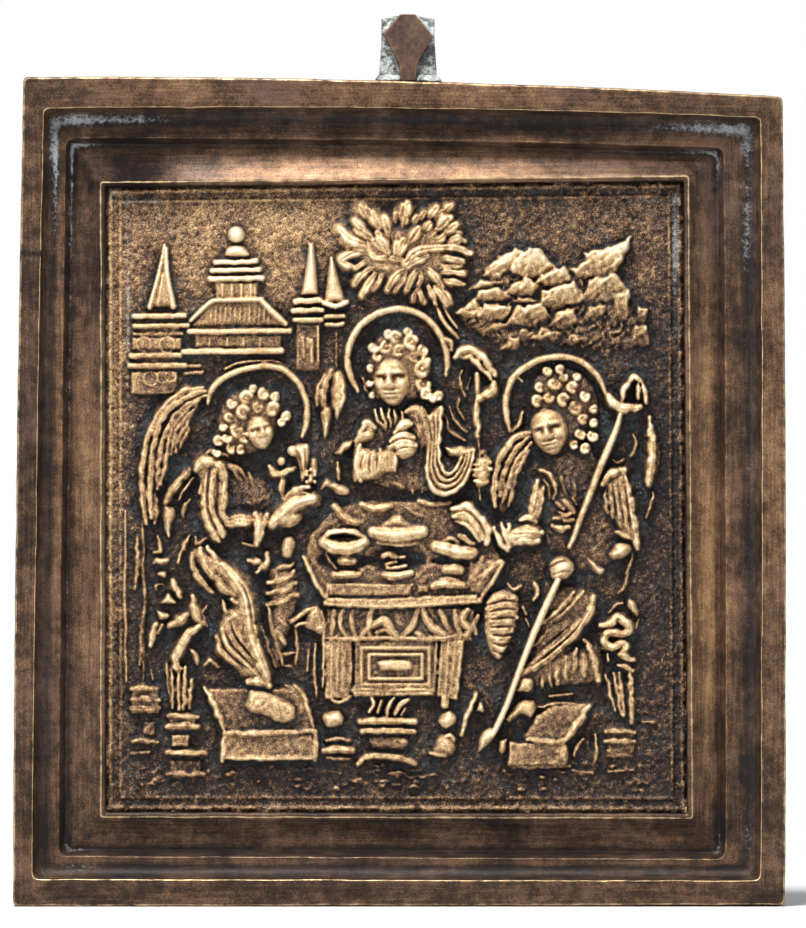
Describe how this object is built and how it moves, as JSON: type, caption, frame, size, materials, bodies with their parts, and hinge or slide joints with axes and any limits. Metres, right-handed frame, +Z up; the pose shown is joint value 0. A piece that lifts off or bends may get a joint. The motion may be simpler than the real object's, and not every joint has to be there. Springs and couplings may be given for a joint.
{
  "type": "bronze icon",
  "caption": "Small cast bronze icon: a stepped frame around a relief plaque with seated winged figures at a table, hung from a faceted eye at the top.",
  "frame": {"origin": "centre of the hanging eye's bore, at mid depth of the frame", "axes": "+X to the right seen from the front, +Z up, the relief faces -Y and the flat back +Y"},
  "size_m": [0.0593, 0.005, 0.0685],
  "materials": {
    "frame_bronze": "worn smooth bronze with a brown patina",
    "plaque_bronze": "granular cast bronze, golden on the highs and dark in the lows",
    "solder": "dull tarnished solder",
    "eye_bronze": "brown patina with pale green deposits",
    "braze": "pale green tarnish"
  },
  "bodies": {
    "root": {"frame": "frame_bronze", "relief_panel": "plaque_bronze", "panel_solder": "solder", "hanging_loop": "eye_bronze", "loop_braze": "braze"}
  },
  "joints": []
}
